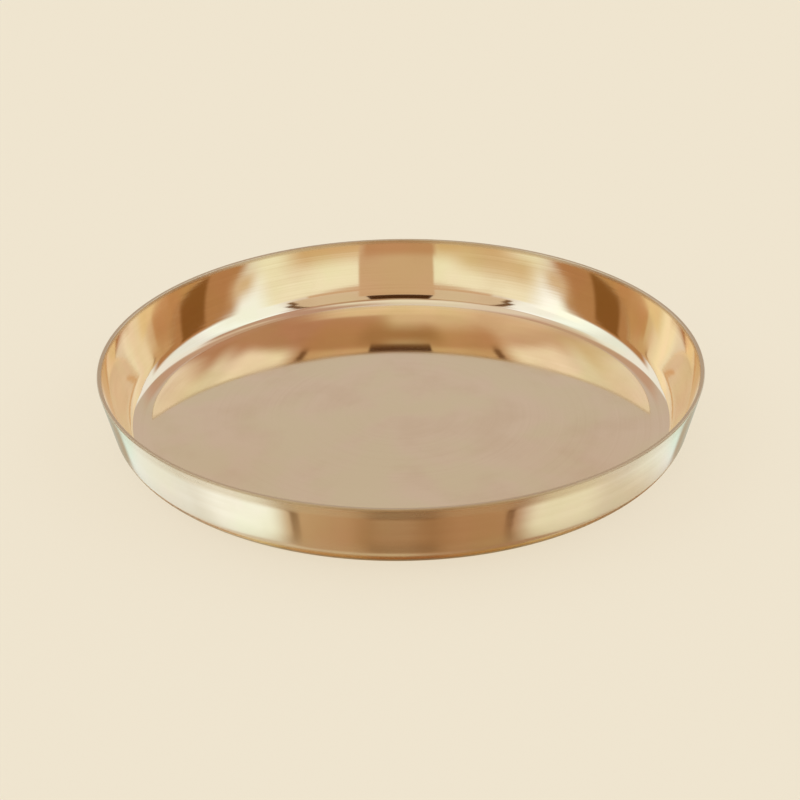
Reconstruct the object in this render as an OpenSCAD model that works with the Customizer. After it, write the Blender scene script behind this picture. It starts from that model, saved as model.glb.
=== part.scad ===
// Thali dish: a round, shallow serving plate with one leaning wall,
// pressed from a single disc of bronze and turned bright all over.
// The middle of its underside is the origin, the rim is level and +Z is up.

/* [Dish] */
// Outside diameter across the rim, in millimetres
rim_d = 300; // [200:5:360]
// Height from the table to the top of the rim
dish_h = 35.5; // [28:0.5:60]
// Lean of the wall outwards from upright, in degrees
wall_lean = 14; // [5:1:25]
// Inside radius of the bend that joins the floor to the wall
bend_r = 12; // [5:0.5:18]

/* [Metal] */
// Thickness of the floor and of the bend
floor_t = 1.5; // [1:0.1:2.5]
// Thickness of the wall at the rim, where the turned edge is left heavier
rim_t = 2; // [1.6:0.1:3]
// Rounding of the two edges of the rim's flat top
rim_edge_r = 0.6; // [0.2:0.1:0.7]

/* [Hidden] */

// Colour of polished bronze
bronze = [0.85, 0.66, 0.40];

// Facets of the full turn, and of the arcs in the section
turn_steps = 240;
arc_steps = 96;

// How far the outline of the hollow runs on above the rim, so that it cuts clear
overrun = 1;

// How far a straight face runs into the arc that it touches, so that the two join cleanly
blend = 0.001;

// Centres of the roundings of the rim's outer and inner edges.
// Between them lies the flat top, and they set the wall's thickness there.
edge_z = dish_h - rim_edge_r;
outer_edge = [rim_d / 2 - rim_edge_r, edge_z];
inner_edge = [outer_edge[0] - (rim_t - 2 * rim_edge_r) / cos(wall_lean), edge_z];

// Centre of the bend, which its inner and outer arcs share.
// The outside of the wall leans by wall_lean and touches the outer arc and the outer edge.
outer_bend_r = bend_r + floor_t;
bend = [
    outer_edge[0] - (outer_bend_r - rim_edge_r) / cos(wall_lean)
        - (edge_z - outer_bend_r) * tan(wall_lean),
    outer_bend_r
];

// The inside of the wall is the line that touches the inner arc and the inner edge,
// so it stands a little steeper than the outside where the rim is heavier than the floor
bend_to_edge = inner_edge - bend;
inner_lean = acos((bend_r + rim_edge_r) / norm(bend_to_edge))
    - atan2(bend_to_edge[1], bend_to_edge[0]);

// Step of length r square to a wall face of this lean, away from the dish's middle
function outward(r, lean) = [r * cos(lean), -r * sin(lean)];

// Step along a wall face of this lean that climbs by height
function upward(height, lean) = [height * tan(lean), height];

// Half section of a solid with the dish's outside shape
module outside_section() {
    polygon([
        [0, 0],
        [bend[0], 0],
        bend,
        bend + outward(outer_bend_r - blend, wall_lean),
        outer_edge + outward(rim_edge_r - blend, wall_lean),
        outer_edge,
        [outer_edge[0], dish_h],
        [0, dish_h]
    ]);
    translate(bend)
        circle(r = outer_bend_r, $fn = arc_steps);
    translate(outer_edge)
        circle(r = rim_edge_r, $fn = arc_steps);
}

// Half section of the hollow
module hollow_section() {
    top_z = dish_h + overrun;
    face_foot = bend + outward(bend_r - blend, inner_lean);
    face_head = inner_edge - outward(rim_edge_r - blend, inner_lean);
    face_top = face_head + upward(top_z - face_head[1], inner_lean);
    polygon([
        [0, floor_t],
        [bend[0], floor_t],
        bend,
        face_foot,
        face_top,
        [0, top_z]
    ]);
    translate(bend)
        circle(r = bend_r, $fn = arc_steps);

    // What the rounding takes off the rim's inner edge
    clear = inner_edge - outward(rim_edge_r + overrun, inner_lean);
    difference() {
        polygon([
            inner_edge,
            clear,
            [clear[0], top_z],
            [inner_edge[0], top_z]
        ]);
        translate(inner_edge)
            circle(r = rim_edge_r, $fn = arc_steps);
    }
}

// The dish: floor, bend, leaning wall and flat-topped rim in one shell turned about Z
module dish() {
    color(bronze)
        rotate_extrude($fn = turn_steps)
            difference() {
                outside_section();
                hollow_section();
            }
}

dish();
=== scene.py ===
import math

import bpy
import numpy as np
from mathutils import Matrix, Vector


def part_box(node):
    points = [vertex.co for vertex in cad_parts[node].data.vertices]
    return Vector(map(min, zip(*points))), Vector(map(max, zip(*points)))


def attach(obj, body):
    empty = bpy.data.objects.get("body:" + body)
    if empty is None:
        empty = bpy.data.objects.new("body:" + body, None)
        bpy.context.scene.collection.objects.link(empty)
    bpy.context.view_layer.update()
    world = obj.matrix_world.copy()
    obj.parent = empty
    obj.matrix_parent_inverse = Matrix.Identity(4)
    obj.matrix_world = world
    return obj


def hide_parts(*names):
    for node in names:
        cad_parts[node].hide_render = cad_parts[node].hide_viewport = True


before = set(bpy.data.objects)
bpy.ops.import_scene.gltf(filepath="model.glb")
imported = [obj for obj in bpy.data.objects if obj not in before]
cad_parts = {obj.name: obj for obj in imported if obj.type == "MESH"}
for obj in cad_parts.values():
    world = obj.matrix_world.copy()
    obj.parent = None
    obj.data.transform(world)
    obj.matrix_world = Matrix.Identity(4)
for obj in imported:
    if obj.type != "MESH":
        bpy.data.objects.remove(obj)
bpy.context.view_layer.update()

# Camera
# A long lens looks down at the dish from in front, a metre away and turned by under a degree.
# Its place was worked out from the rim's ellipse and from the outline of the wall and base.

camera_lens = 87.36                    # millimetres on a square sensor
sensor_width = 36                      # millimetres
camera_distance = 0.983                # metres, from the camera to the plane through the origin
camera_pitch = math.radians(27.52)     # how far the camera looks down
camera_roll = math.radians(0.636)      # how far the picture is turned, right side up
camera_shift = (-0.0005, 0.0094)       # metres, from the origin to the middle of the view, right and up

level_right = Vector((1, 0, 0))
forward = Vector((0, math.cos(camera_pitch), -math.sin(camera_pitch)))
level_up = level_right.cross(forward)
right = level_right * math.cos(camera_roll) - level_up * math.sin(camera_roll)
up = level_right * math.sin(camera_roll) + level_up * math.cos(camera_roll)
place = level_right * camera_shift[0] + level_up * camera_shift[1] - forward * camera_distance

camera = bpy.data.objects.new("camera", bpy.data.cameras.new("camera"))
camera.data.sensor_width = sensor_width
camera.data.lens = camera_lens
camera.matrix_world = Matrix.Translation(place) @ Matrix((right, up, -forward)).transposed().to_4x4()
bpy.context.collection.objects.link(camera)
bpy.context.scene.camera = camera
bpy.context.scene.view_settings.view_transform = "Standard"


# Studio
# The dish stands on a pale sheet in a tent of soft light: white cloths at the sides with wooden
# stands below them, a beige card in front with the camera's gap in its middle, and a grey back.


def linear(code):
    """Turn an sRGB hex colour into linear red, green, blue and an alpha of 1."""
    srgb = np.array([int(code[i:i + 2], 16) / 255 for i in (1, 3, 5)])
    shares = np.where(srgb <= 0.04045, srgb / 12.92, ((srgb + 0.055) / 1.055) ** 2.4)
    return (*shares.tolist(), 1.0)


def add(tree, kind, settings=None, inputs=None):
    """
    Add a shader node, set its properties, and fill its inputs, named or numbered. An input takes
    a plain value, a socket, or a node, which then gives its first output.
    """
    made = tree.nodes.new("ShaderNode" + kind)
    for name, value in (settings or {}).items():
        setattr(made, name, value)
    for name, value in (inputs or {}).items():
        if isinstance(value, bpy.types.Node):
            value = value.outputs[0]
        if isinstance(value, bpy.types.NodeSocket):
            tree.links.new(value, made.inputs[name])
        else:
            made.inputs[name].default_value = value
    return made


# Each cloth or card of the tent, the later ones in front: its side (-1 left, 1 right, 0 both),
# how far round from straight ahead and how high it reaches in degrees, the softness of its
# edges round and up, how far its ends lean back with each degree of height, its colour, and its
# brightness.
tent_colour = "#E7EAE7"
tent_cloths = (
    ("roof_right", 1, (8, 166), (40, 76), (10, 9), 0, "#C3AAA0", 1.00),
    ("roof_right_front", 1, (122, 172), (40, 70), (8, 7), 0, "#C2AA92", 1.00),
    ("roof_left", -1, (10, 116), (56, 62), (10, 4), 0, "#DAD3D3", 1.00),
    ("roof_left_front", -1, (118, 166), (40, 66), (8, 5), 0, "#CAB59F", 1.00),
    ("back_low", 0, (-9, 60), (-9, 10), (6, 3), 0, "#D4D7E1", 1.00),
    ("back", 0, (-9, 34), (8, 40), (4, 4), 0, "#CDC9C7", 1.00),
    ("back_shoulder", 0, (9, 30), (31, 60), (4, 4), 0, "#C6AFA2", 1.00),
    ("back_corner", 0, (27, 37), (45, 62), (2, 3), 0, "#DACEC6", 1.00),
    ("back_high", 0, (-9, 11), (38, 66), (4, 4), 0, "#E2E7F3", 1.00),
    ("side_back", 0, (31, 76), (8, 49.5), (3, 3.5), 0, "#E0F0FF", 1.26),
    ("side_middle", 0, (64, 100), (8, 54.5), (8, 3), 0, "#D9EDFF", 1.32),
    ("side_front", 0, (82, 119), (8, 56.5), (8, 2.5), 0, "#D5EBFF", 1.60),
    ("side_front_low", 0, (100, 128), (8, 46), (8, 4), 0, "#DDF0FF", 1.40),
    ("side_front_left", -1, (94, 117), (15, 30), (5, 3), 0, "#DDF0FF", 1.60),
    ("side_stand", 0, (66, 120.5), (-9, 16.2), (4, 2.2), 0.85, "#B88E65", 1.00),
    ("side_stand_end", 0, (117, 129), (7, 13.5), (5, 3), 0.85, "#DCCBAC", 1.00),
    ("side_stand_shade", 0, (85.5, 101.5), (-3, 12.3), (1.5, 1.2), 0.85, "#8A6033", 1.00),
    ("front_sheet", 0, (121, 170), (-9, 23.3), (6, 0.8), 0, "#F5FFF2", 1.05),
    ("front_sheet_warm", 0, (136, 170), (-9, 12.5), (7, 5), 0, "#DAC49A", 1.00),
    ("front_sheet_warm_left", -1, (124, 156), (7, 16), (6, 4), 0, "#DFD2AE", 1.00),
    ("front_card_foot", 0, (139, 170), (23.3, 27.5), (1, 0.8), 0, "#D4BCA2", 1.00),
    ("front_card", 0, (128.5, 170), (27.5, 55), (1, 1.2), 0, "#DCD3C1", 1.00),
    ("front_post_foot", 0, (128.2, 131.2), (28.5, 38), (0.8, 1), 0, "#7E654A", 1.00),
    ("front_post", 0, (124.3, 128.6), (36, 56), (0.7, 1.5), 0, "#765D43", 1.00),
    ("camera_side", 1, (165.2, 195), (-9, 43.5), (0.6, 1.2), 0.12, "#D3BCA0", 1.00),
    ("camera_side_left", -1, (168, 195), (-9, 43.5), (0.6, 1.2), 0.12, "#D3BCA0", 1.00),
    ("camera_side_low", 0, (167, 195), (-9, 12.5), (1.5, 2), 0.12, "#C5A07E", 1.00),
    ("camera_gap", 0, (163.5, 190), (43.5, 57), (0.6, 1.2), 0, "#4B301A", 1.00),
    ("camera_top", 0, (156, 190), (57, 67), (7, 5), 0, "#B29A7F", 1.00),
    ("zenith", 0, (-9, 190), (78, 99), (2, 8), 0, "#F6FFFD", 1.00),
)
soft_ends = {"interpolation_type": "SMOOTHSTEP"}     # a ramp that eases in and out

world = bpy.data.worlds.new("tent")
bpy.context.scene.world = world
world.use_nodes = True
tree = world.node_tree
tree.nodes.clear()
look = add(tree, "TexCoord").outputs["Generated"]
look_xyz = add(tree, "SeparateXYZ", {}, {0: look}).outputs
around_right = add(tree, "Math", {"operation": "ARCTAN2"}, {0: look_xyz["X"], 1: look_xyz["Y"]})
around_left = add(tree, "Math", {"operation": "MULTIPLY"}, {0: around_right, 1: -1.0})
around_both = add(tree, "Math", {"operation": "ABSOLUTE"}, {0: around_right})
around_sides = {-1: around_left, 0: around_both, 1: around_right}
height = add(tree, "Math", {"operation": "ARCSINE"}, {0: look_xyz["Z"]})
colour = linear(tent_colour)
for name, side, around, heights, soft, lean, code, level in tent_cloths:
    leant = add(tree, "Math", {"operation": "MULTIPLY_ADD"}, {0: height, 1: lean, 2: around_sides[side]})
    cover = 1.0
    for angle, ends, edge_soft in ((leant, around, soft[0]), (height, heights, soft[1])):
        for edge, inward in zip(ends, (1, -1)):
            ramp = add(tree, "MapRange", soft_ends, {
                "Value": angle,
                "From Min": math.radians(edge - inward * edge_soft),
                "From Max": math.radians(edge + inward * edge_soft),
            })
            cover = add(tree, "Math", {"operation": "MULTIPLY"}, {0: cover, 1: ramp})
    shade = (*(part * level for part in linear(code)[:3]), 1.0)
    layer = add(tree, "Mix", {"data_type": "RGBA", "label": name}, {0: cover, 6: colour, 7: shade})
    colour = layer.outputs[2]

# The camera sees a plain cream room behind the sheet, and everything else sees the tent.
sheet_colour = "#EFE4CE"
tent = add(tree, "Background", {}, {"Color": colour, "Strength": 1.0})
beyond = add(tree, "Background", {}, {"Color": linear(sheet_colour), "Strength": 1.0})
from_camera = add(tree, "LightPath").outputs["Is Camera Ray"]
seen = add(tree, "MixShader", {}, {0: from_camera, 1: tent, 2: beyond})
add(tree, "OutputWorld", {}, {"Surface": seen})

# The sheet is polished acrylic. To the camera it is a plain cream ground with a faint shadow. To
# the bronze it is white, and glossy except right beside the dish, so that the outside of the wall
# shows the tent mirrored in it.
sheet_half = 3.0                       # metres, and so are the places below
sheet_z = -0.0002
plain_share = 0.78                     # how much of the ground is plain, with no shadow in it
plain_level = 1.071                    # brings the ground, shadow and all, to its written colour
sheet_white = "#DEE4E2"                # mirrored, where it isn't glossy
gloss_colour = "#FDFAF2"
gloss_roughness = 0.05
gloss_ends = ((0.134, 0.1), (0.142, 0.98))          # place out from the middle, and how glossy it is
gloss_warm = "#EBDBC2"                 # from left of the dish's middle to its right end
warm_ends = ((-0.090, -0.005), (0.115, 0.150))      # where this tint comes and goes, left to right
gloss_cool = "#EEF7E8"                 # beside the dish, at its left and right ends
cool_ends = ((-0.062, -0.040), (0.030, 0.060))      # where this tint comes and goes, front to back

sheet_mesh = bpy.data.meshes.new("sheet")
corners = [(x * sheet_half, y * sheet_half, sheet_z) for x, y in ((-1, -1), (1, -1), (1, 1), (-1, 1))]
sheet_mesh.from_pydata(corners, [], [(0, 1, 2, 3)])
sheet = bpy.data.objects.new("sheet", sheet_mesh)
bpy.context.collection.objects.link(sheet)

acrylic = bpy.data.materials.new("cream_acrylic_polished")
acrylic.use_nodes = True
tree = acrylic.node_tree
tree.nodes.clear()
sheet_at = add(tree, "TexCoord").outputs["Object"]
sheet_xyz = add(tree, "SeparateXYZ", {}, {0: sheet_at}).outputs
gloss_tone = linear(gloss_colour)
for axis, places, code in (("X", warm_ends, gloss_warm), ("Y", cool_ends, gloss_cool)):
    cover = 1.0
    for (start, end), shares in zip(places, ((0, 1), (1, 0))):
        ramp = add(tree, "MapRange", soft_ends, {
            "Value": sheet_xyz[axis],
            "From Min": start,
            "From Max": end,
            "To Min": shares[0],
            "To Max": shares[1],
        })
        cover = add(tree, "Math", {"operation": "MULTIPLY"}, {0: cover, 1: ramp})
    layer = add(tree, "Mix", {"data_type": "RGBA"}, {0: cover, 6: gloss_tone, 7: linear(code)})
    gloss_tone = layer.outputs[2]
gloss = add(tree, "BsdfAnisotropic", {}, {"Color": gloss_tone, "Roughness": gloss_roughness})
white = add(tree, "BsdfDiffuse", {}, {"Color": linear(sheet_white)})
sheet_out = add(tree, "VectorMath", {"operation": "LENGTH"}, {0: sheet_at}).outputs["Value"]
glossy = add(tree, "MapRange", soft_ends, {
    "Value": sheet_out,
    "From Min": gloss_ends[0][0],
    "From Max": gloss_ends[1][0],
    "To Min": gloss_ends[0][1],
    "To Max": gloss_ends[1][1],
})
mirrored = add(tree, "MixShader", {}, {0: glossy, 1: white, 2: gloss})

path = add(tree, "LightPath").outputs
matt = add(tree, "BsdfDiffuse", {}, {"Color": linear(sheet_colour)})
plain = add(tree, "Emission", {}, {"Color": linear(sheet_colour), "Strength": plain_level})
share = add(tree, "Math", {"operation": "MULTIPLY"}, {0: path["Is Camera Ray"], 1: plain_share})
ground = add(tree, "MixShader", {}, {0: share, 1: matt, 2: plain})
ground = add(tree, "MixShader", {}, {0: path["Is Glossy Ray"], 1: ground, 2: mirrored})
add(tree, "OutputMaterial", {}, {"Surface": ground})
sheet_mesh.materials.append(acrylic)


# Dish
# The whole object is one disc of bronze, pressed to a flat floor, a bend and a leaning wall, with
# a flat turned rim. It is polished on the lathe, so faint rings run round it.

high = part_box("dish")[1]
rim_radius = high.x                    # metres, and so are the sizes below
dish_height = high.z
wall_lean = math.radians(14)           # outside of the wall, from upright
bend_radius = 0.012                    # the outside of the bend has this and the floor's thickness
floor_thick = 0.0015
rim_thick = 0.002
rim_edge = 0.0006                      # rounding of the rim's two edges
bend_turns = (90, 62, 40, 24.8)        # inside, in degrees from upright, with these radii between
bend_radii = (0.0181, 0.005, 0.0216)
wall_top_lean = 13.9                   # degrees from upright, inside, under the rim
wall_hollow = 0.81                     # power of the height left, by which the lean falls to the rim
crown_height = 0.002                   # the floor stands this much higher in the middle
crown_flat = 0.039                     # radius where the crown starts to fall

turn_steps = 360                       # points on each ring
bend_step = 0.0005                     # between the rings inside the bend
bend_fewest = 8                        # steps on each radius of the bend
wall_fine = 601                        # steps of the running sum up the wall
wall_rings = 31
inner_edge_rings = 8
outer_edge_rings = 10
outer_wall_rings = 16
outer_bend_rings = 28
floor_rings = 44
base_rings = 30


def arc(centre, radius, start, end, steps):
    """
    Points of an arc, as rows of radius and height: the centre plus the arc's radius times the
    cosine and minus the sine of angles spread evenly from start to end.
    """
    angles = np.linspace(start, end, steps)[:, None]
    return centre + radius * np.hstack([np.cos(angles), -np.sin(angles)])


def straight(start, end, steps):
    """Points spread evenly from start to end, without the two ends themselves."""
    shares = np.linspace(0, 1, steps + 2)[1:-1, None]
    return np.asarray(start) * (1 - shares) + np.asarray(end) * shares


def crown(radius, edge):
    """How far the floor stands up at a radius: half a cosine wave from crown_flat down to edge."""
    share = np.clip((radius - crown_flat) / (edge - crown_flat), 0, 1)
    return crown_height * (0.5 + 0.5 * np.cos(math.pi * share))


def inside_wall(top):
    """
    The inside from the edge of the floor up to the point top. Its lean from upright falls evenly
    with the way travelled on each radius of the bend, and then from the bend to the rim as the
    share of the height that is left, to a power. The points are the running sum of short steps
    along that lean, moved sideways until the last one is at top.
    """
    lean = [np.array([bend_turns[0]])]
    steps = []
    for start, end, radius in zip(bend_turns, bend_turns[1:], bend_radii):
        length = radius * math.radians(start - end)
        count = max(bend_fewest, round(length / bend_step))
        lean.append(np.linspace(start, end, count + 1)[1:])
        steps.append(np.full(count, length / count))
    lean = np.radians(np.concatenate(lean))
    steps = np.concatenate(steps)
    middle = (lean[1:] + lean[:-1]) / 2
    out = np.concatenate([[0], np.cumsum(np.sin(middle) * steps)])
    up = np.concatenate([[0], np.cumsum(np.cos(middle) * steps)])
    wall_up = np.linspace(up[-1], top[1] - floor_thick, wall_fine)
    left = (wall_up[-1] - wall_up) / (wall_up[-1] - wall_up[0])
    lean = np.radians(wall_top_lean + (bend_turns[-1] - wall_top_lean) * left ** wall_hollow)
    middle = (lean[1:] + lean[:-1]) / 2
    wall_out = out[-1] + np.concatenate([[0], np.cumsum(np.tan(middle) * np.diff(wall_up))])
    chosen = np.linspace(0, wall_fine - 1, wall_rings).astype(int)[1:]
    out = np.concatenate([out, wall_out[chosen]])
    up = np.concatenate([up, wall_up[chosen]])
    return np.stack([out - out[-1] + top[0], up + floor_thick], axis=1)


def dish_section():
    """
    The half section, from the middle of the floor over the bend, wall and rim to the middle of
    the underside. The outside is a straight wall that touches its bend arc and its rim arc, and
    the crown lifts the floor and the underside alike.
    """
    edge_z = dish_height - rim_edge
    outer_bend = bend_radius + floor_thick
    outer_edge = np.array([rim_radius - rim_edge, edge_z])
    inner_edge = outer_edge - [(rim_thick - 2 * rim_edge) / math.cos(wall_lean), 0]
    bend_x = (
        outer_edge[0]
        - (outer_bend - rim_edge) / math.cos(wall_lean)
        - (edge_z - outer_bend) * math.tan(wall_lean)
    )
    outer_centre = np.array([bend_x, outer_bend])
    down = math.pi / 2
    inner_rim = arc(inner_edge, rim_edge, math.radians(wall_top_lean) - math.pi, -down, inner_edge_rings)
    inner = inside_wall(inner_rim[0])
    outer_rim = arc(outer_edge, rim_edge, -down, wall_lean, outer_edge_rings)
    outer_arc = arc(outer_centre, outer_bend, wall_lean, down, outer_bend_rings)
    floor = straight([0, floor_thick], inner[0], floor_rings)
    floor[:, 1] += crown(floor[:, 0], inner[0, 0])
    base = straight(outer_arc[-1], [0, 0], base_rings)
    base[:, 1] += crown(base[:, 0], inner[0, 0])
    return np.vstack([
        [[0, floor_thick + crown_height]],
        floor,
        inner,
        inner_rim[1:],
        outer_rim,
        straight(outer_rim[-1], outer_arc[0], outer_wall_rings),
        outer_arc,
        base,
        [[0, crown_height]],
    ])


def length_along(section):
    """The way from the section's first point to each of its points: the sum of the steps between."""
    return np.concatenate([[0], np.cumsum(np.hypot(*np.diff(section, axis=0).T))])


def turned_mesh(name, section, steps):
    """
    Turn the section about Z: a point at a radius and a height makes a ring of points at the radius
    times the sine and cosine of the turn, all at that height. The first and last points lie on the
    axis and are single vertices. Each vertex keeps its distance along the section.
    """
    run = length_along(section)
    turn = np.arange(steps) * 2 * math.pi / steps
    radius, z = section[1:-1].T
    ringed = np.stack([
        np.outer(radius, np.sin(turn)),
        np.outer(radius, np.cos(turn)),
        np.repeat(z[:, None], steps, axis=1),
    ], axis=-1).reshape(-1, 3)
    top, bottom = [0, 0, section[0, 1]], [0, 0, section[-1, 1]]
    points = np.vstack([ringed, top, bottom])
    first = np.arange(len(ringed)).reshape(-1, steps)
    after = np.roll(first, -1, axis=1)
    quads = np.stack([first[:-1], first[1:], after[1:], after[:-1]], axis=-1).reshape(-1, 4)
    top_fan = np.stack([np.full(steps, len(ringed)), first[0], after[0]], axis=-1)
    bottom_fan = np.stack([np.full(steps, len(ringed) + 1), after[-1], first[-1]], axis=-1)
    mesh = bpy.data.meshes.new(name)
    faces = quads.tolist() + top_fan.tolist() + bottom_fan.tolist()
    mesh.from_pydata(points.tolist(), [], faces)
    along = np.concatenate([np.repeat(run[1:-1], steps), run[[0, -1]]])
    mesh.attributes.new("along_section", "FLOAT", "POINT").data.foreach_set("value", along)
    mesh.shade_smooth()
    mesh.update()
    return mesh


section = dish_section()
section_run = length_along(section)
floor_run = section_run[np.flatnonzero(section[:, 1] <= floor_thick)[0]]     # the edge of the floor
rim_run = section_run[section[:, 1].argmax()]
base_run = section_run[np.flatnonzero(section[:, 1] == 0)[0]]     # where the outer bend meets the base
dish = bpy.data.objects.new("thali_dish", turned_mesh("thali_dish", section, turn_steps))
bpy.context.collection.objects.link(dish)

# Bronze turned and buffed on a lathe: it mirrors the room, drawn out a little across the fine rings
# that the tool left. The tone wanders between a green gold and a pink gold in soft patches,
# handling leaves dull smudges, and the rim, the wall outside near its two edges and the
# underside are duller. Its left and right sides carry less of the darker tints than its front and
# back, which is painted light where the bright side cloths shine in it, and they are smoother.
bronze_green, bronze_pink = "#F1DBB6", "#F4D9BA"
bronze_roughness = 0.050
wave_depth = 1.5e-5                    # metres, of the slow waves that the buffing leaves
mark_depth = 7e-6                      # metres, of the turning marks
deepest_ray = 2.5                      # the first mirroring has depth 0, and the fourth 3

bronze = bpy.data.materials.new("bronze_lathe_polished")
bronze.use_nodes = True
tree = bronze.node_tree
tree.nodes.clear()
dish_at = add(tree, "TexCoord").outputs["Object"]
dish_x = add(tree, "SeparateXYZ", {}, {0: dish_at}).outputs["X"]
sideways = add(tree, "Math", {"operation": "ABSOLUTE"}, {0: dish_x})
run = add(tree, "Attribute", {"attribute_name": "along_section"}).outputs["Fac"]
covers = {}

# Each pattern: clouds in space or rings round the dish, their size in metres, their detail, and
# the two values of the noise that are stretched to 0 and 1. Rings change along the section only.
# Real turning marks are about 0.2 mm apart, so these are drawn coarser to show.
for name, source, size, detail, ends in (
    ("patches", {"Vector": dish_at}, 0.038, 3.0, (0.38, 0.62)),
    ("smudges", {"Vector": dish_at}, 0.033, 4.0, (0.46, 0.70)),
    ("presence", {"Vector": dish_at}, 0.070, 1.0, (0.30, 0.66)),
    ("waves", {"Vector": dish_at}, 0.040, 1.0, (0.20, 0.80)),
    ("fine_rings", {"W": run}, 0.0009, 2.0, (0.30, 0.70)),
    ("broad_rings", {"W": run}, 0.0036, 3.0, (0.32, 0.68)),
):
    kind = {"noise_dimensions": "1D" if "W" in source else "3D"}
    noise = add(tree, "TexNoise", kind, {**source, "Scale": 1 / size, "Detail": detail})
    stretch = {"Value": noise, "From Min": ends[0], "From Max": ends[1]}
    covers[name] = add(tree, "MapRange", soft_ends, stretch)

# Each change over the surface: what it follows, from where to where in metres, and its shares
# there. The left and right sides of the dish are smoother than its front and back, and carry less
# of the darker tints: painted light, where the bright side cloths shine in it.
for name, value, places, shares in (
    ("on_wall", run, (floor_run - 0.010, floor_run + 0.006), (0.25, 1)),
    ("outside", run, (rim_run, rim_run + 0.004), (1, 0.5)),
    ("sides_lighter_and_smoother", sideways, (0.100, 0.135), (1, 0.3)),
    ("rim_in", run, (rim_run - 0.003, rim_run - 0.0012), (0, 1)),
    ("rim_out", run, (rim_run + 0.0012, rim_run + 0.003), (1, 0)),
    ("shoulder_top", run, (rim_run, rim_run + 0.0015), (0, 1)),
    ("shoulder_end", run, (rim_run + 0.005, rim_run + 0.0085), (1, 0)),
    ("foot", run, (base_run - 0.027, base_run - 0.016), (0, 1)),
    ("below", run, (base_run - 0.006, base_run + 0.004), (0, 1)),
):
    covers[name] = add(tree, "MapRange", soft_ends, {
        "Value": value,
        "From Min": places[0],
        "From Max": places[1],
        "To Min": shares[0],
        "To Max": shares[1],
    })

# Covers that are made of others: the rings are averaged, and the rest are products.
both_rings = add(tree, "Math", {"operation": "ADD"}, {0: covers["fine_rings"], 1: covers["broad_rings"]})
covers["rings"] = add(tree, "Math", {"operation": "MULTIPLY"}, {0: both_rings, 1: 0.5})
# The marks and the shoulder band fade at the left and right sides, which paints light there.
for name, parts in (
    ("marks", ("rings", "presence", "on_wall", "outside", "sides_lighter_and_smoother")),
    ("rim_worn", ("rim_in", "rim_out")),
    ("shoulder", ("shoulder_top", "shoulder_end", "sides_lighter_and_smoother")),
):
    cover = 1.0
    for part in parts:
        cover = add(tree, "Math", {"operation": "MULTIPLY"}, {0: cover, 1: covers[part]})
    covers[name] = cover

# Each layer over the two golds: its tone, how strongly it tints, and the roughness that it adds.
golds = {0: covers["patches"], 6: linear(bronze_green), 7: linear(bronze_pink)}
tone = add(tree, "Mix", {"data_type": "RGBA"}, golds).outputs[2]
dull = bronze_roughness
for name, code, strength, roughness in (
    ("smudges", "#DDBE97", 0.22, 0.03),
    ("marks", "#D0A878", 0.28, 0.03),
    ("rim_worn", "#D3B996", 0.90, 0.26),
    ("below", "#D9B98F", 0.35, 0.10),
    ("shoulder", "#D2AE80", 0.32, 0.20),
    ("foot", "#CDB894", 0.20, 0.12),
):
    share = add(tree, "Math", {"operation": "MULTIPLY"}, {0: covers[name], 1: strength})
    tone = add(tree, "Mix", {"data_type": "RGBA"}, {0: share, 6: tone, 7: linear(code)}).outputs[2]
    dull = add(tree, "Math", {"operation": "MULTIPLY_ADD"}, {0: covers[name], 1: roughness, 2: dull})
grooves = add(tree, "Math", {"operation": "MULTIPLY"}, {0: covers["marks"], 1: mark_depth})
relief = add(tree, "Math", {"operation": "MULTIPLY_ADD"}, {0: covers["waves"], 1: wave_depth, 2: grooves})
shader = add(tree, "BsdfPrincipled", {}, {
    "Base Color": tone,
    "Metallic": 1.0,
    "Roughness": dull,
    "Anisotropic": 0.7,
    "Anisotropic Rotation": 0.25,
    "Normal": add(tree, "Bump", {}, {"Height": relief, "Distance": 1.0}),
    "Tangent": add(tree, "Tangent", {"direction_type": "RADIAL", "axis": "Z"}),
})
# Light mirrored on and on round inside the wall is given up after a few turns and would show
# black, so from the fourth turn on the bronze shows the mean tone of the tent instead.
tent_mean = "#E8E0CC"
depth = add(tree, "LightPath").outputs["Ray Depth"]
spent = add(tree, "Math", {"operation": "GREATER_THAN"}, {0: depth, 1: deepest_ray})
last = add(tree, "Emission", {}, {"Color": linear(tent_mean), "Strength": 1.0})
surface = add(tree, "MixShader", {}, {0: spent, 1: shader, 2: last})
add(tree, "OutputMaterial", {}, {"Surface": surface})
dish.data.materials.append(bronze)

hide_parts("dish")
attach(dish, "root")
